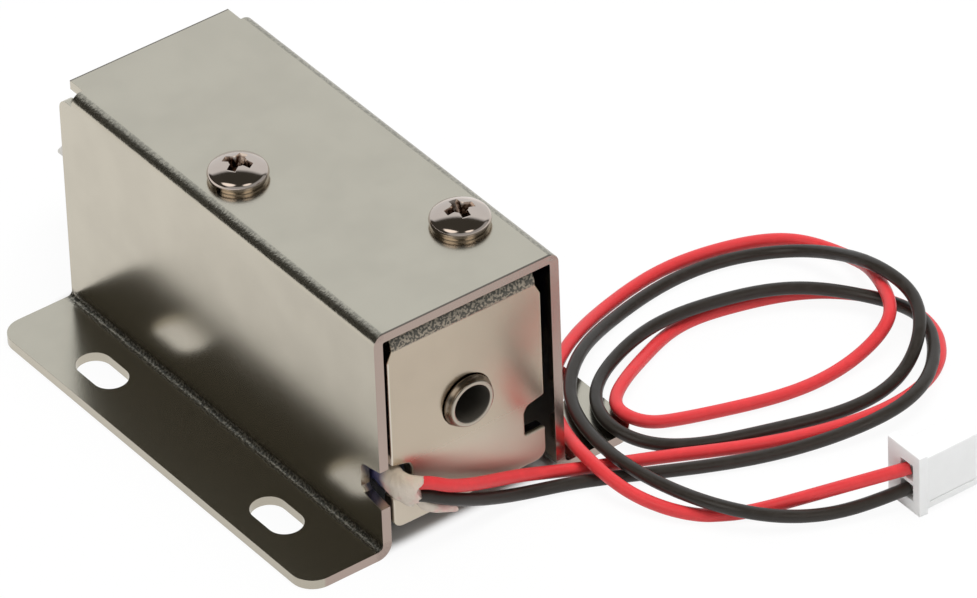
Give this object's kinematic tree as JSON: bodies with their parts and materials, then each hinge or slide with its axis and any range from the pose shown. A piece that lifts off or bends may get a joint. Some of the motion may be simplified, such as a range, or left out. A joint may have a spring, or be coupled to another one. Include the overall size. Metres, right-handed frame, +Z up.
{
  "type": "solenoid lock",
  "caption": "Small electric lock: a coil draws a sprung wedge bolt into a folded steel bracket with slotted feet; two leads end in a two-way connector.",
  "frame": {"origin": "on the surface that the feet stand on, in the middle of the lock's footprint, between the spigot's face and the bolt's tip", "axes": "+Y the way the bolt points, +Z up, away from the mounting surface, +X to the right seen from the wire end"},
  "size_m": [0.0772, 0.0954, 0.0304],
  "materials": {
    "nickel_plate": "satin nickel plate",
    "frame_steel": "plated sheet steel",
    "core_steel": "turned and plated",
    "bolt_steel": "ground and plated",
    "screw_nickel": "bright nickel",
    "washer_steel": "yellowish zinc",
    "spring_steel": "bright spring steel",
    "tinned_terminal": "tinned",
    "copper": "enamelled copper wire",
    "blue_tape": "polyester tape",
    "spool_nylon": "moulded nylon",
    "damping_washer": "matte",
    "sleeve": "translucent tape",
    "red_pvc": "satin PVC",
    "black_pvc": "satin PVC",
    "white_nylon": "natural nylon"
  },
  "bodies": {
    "housing": {"outer_bracket": "nickel_plate", "inner_frame": "frame_steel", "fixed_core": "core_steel", "bobbin": "spool_nylon", "coil_winding": "copper", "coil_wrap": "blue_tape", "return_spring": "spring_steel", "screw_rear": "screw_nickel", "screw_front": "screw_nickel", "lock_washer_rear": "washer_steel", "lock_washer_front": "washer_steel", "lead_sleeve": "sleeve", "red_wire": "red_pvc", "black_wire": "black_pvc", "connector_housing": "white_nylon", "terminal_red": "tinned_terminal", "terminal_black": "tinned_terminal"},
    "bolt": {"bolt": "bolt_steel", "retaining_ring": "spring_steel", "stop_washer": "damping_washer"}
  },
  "joints": [
    {"name": "bolt_slide", "type": "slide", "parent": "housing", "child": "bolt", "axis": [0, -1, 0], "range_m": [0, 0.01], "stiffness_N_per_m": 150, "springref_m": -0.01, "deforming": ["return_spring"]}
  ]
}
